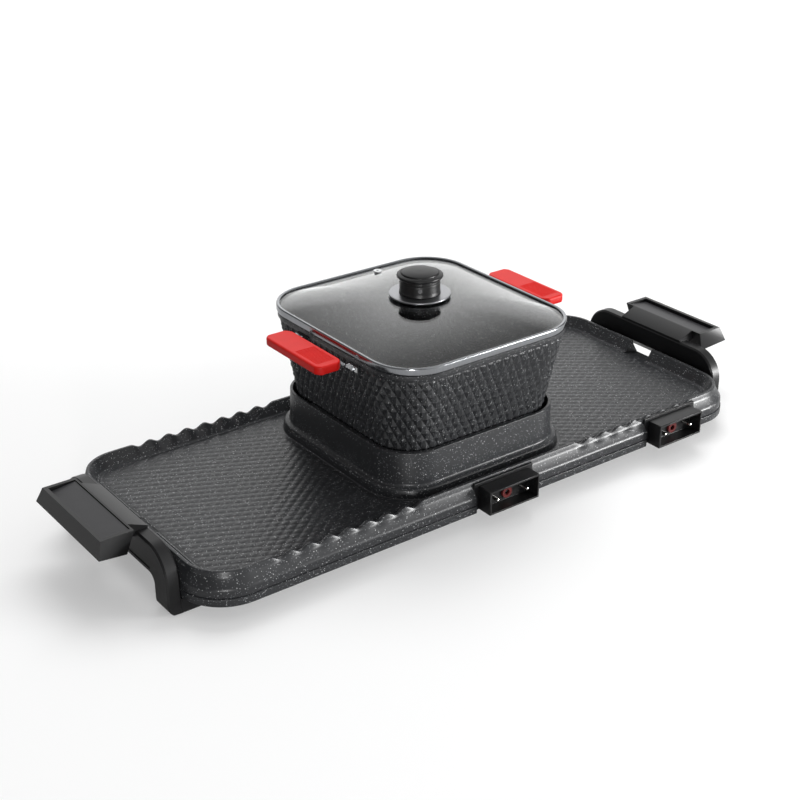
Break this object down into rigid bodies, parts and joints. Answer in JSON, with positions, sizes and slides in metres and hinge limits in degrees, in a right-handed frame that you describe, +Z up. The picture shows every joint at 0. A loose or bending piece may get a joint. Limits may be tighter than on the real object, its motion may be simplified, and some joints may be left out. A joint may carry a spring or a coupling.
{
  "type": "hot pot grill combo",
  "caption": "Long electric table grill with scalloped tray walls, a collar holding a faceted square pot with glass lid, arched end handles and front inlet sockets.",
  "frame": {"origin": "on the table, under the middle of the whole outline", "axes": "+X along the tray to the end with the second socket, -Y to the side with the sockets, +Z up"},
  "size_m": [0.823, 0.3066, 0.2247],
  "materials": {
    "stone_coat": "cast aluminium with a dark stone-effect non-stick coating with light flecks",
    "black_plastic": "black heat-resistant moulding, satin gloss",
    "panel_plastic": "dark grey satin inlay",
    "red_silicone": "red silicone, satin",
    "clear_glass": "clear tempered glass",
    "steel": "polished stainless steel",
    "zinc_steel": "zinc-plated steel",
    "heater_steel": "heat-darkened steel sheath",
    "ceramic": "off-white steatite",
    "black_rubber": "black rubber"
  },
  "bodies": {
    "grill": {"bottom_cover": "zinc_steel", "cover_screw_back": "zinc_steel", "cover_screw_front": "zinc_steel", "cover_screw_left": "zinc_steel", "cover_screw_right": "zinc_steel", "end_handle_left": "black_plastic", "end_handle_right": "black_plastic", "foot_pad_left_back": "black_rubber", "foot_pad_left_front": "black_rubber", "foot_pad_right_back": "black_rubber", "foot_pad_right_front": "black_rubber", "grill_heater_tube": "heater_steel", "grill_tray": "stone_coat", "grip_panel_left": "panel_plastic", "grip_panel_right": "panel_plastic", "handle_screw_left_back": "zinc_steel", "handle_screw_left_front": "zinc_steel", "handle_screw_right_back": "zinc_steel", "handle_screw_right_front": "zinc_steel", "heater_clamp_inner_left": "zinc_steel", "heater_clamp_inner_right": "zinc_steel", "heater_clamp_outer_left": "zinc_steel", "heater_clamp_outer_right": "zinc_steel", "heater_clamp_pot_left": "zinc_steel", "heater_clamp_pot_right": "zinc_steel", "pot_heater_tube": "heater_steel", "probe_seal_centre": "red_silicone", "probe_seal_right": "red_silicone", "probe_sleeve_centre": "steel", "probe_sleeve_right": "steel", "socket_flange_centre": "black_plastic", "socket_flange_right": "black_plastic", "socket_housing_centre": "black_plastic", "socket_housing_right": "black_plastic", "socket_pin_centre_left": "steel", "socket_pin_centre_right": "steel", "socket_pin_right_left": "steel", "socket_pin_right_right": "steel", "terminal_bush_centre_left": "ceramic", "terminal_bush_centre_right": "ceramic", "terminal_bush_right_left": "ceramic", "terminal_bush_right_right": "ceramic"},
    "pot": {"bracket_screw_left_back": "zinc_steel", "bracket_screw_left_front": "zinc_steel", "bracket_screw_right_back": "zinc_steel", "bracket_screw_right_front": "zinc_steel", "cook_pot": "stone_coat", "pot_bracket_left": "steel", "pot_bracket_right": "steel", "pot_grip_left": "red_silicone", "pot_grip_right": "red_silicone"},
    "lid": {"knob_cap": "black_plastic", "knob_flange": "steel", "knob_neck": "black_plastic", "knob_screw": "zinc_steel", "knob_washer": "black_plastic", "lid_glass": "clear_glass", "lid_rim": "steel", "lid_vent_grommet": "steel"}
  },
  "joints": [
    {"name": "pot_lift", "type": "slide", "parent": "grill", "child": "pot", "axis": [0, 0, 1], "range_m": [0, 0.12]},
    {"name": "lid_lift", "type": "slide", "parent": "pot", "child": "lid", "axis": [0, 0, 1], "range_m": [0, 0.12]}
  ]
}
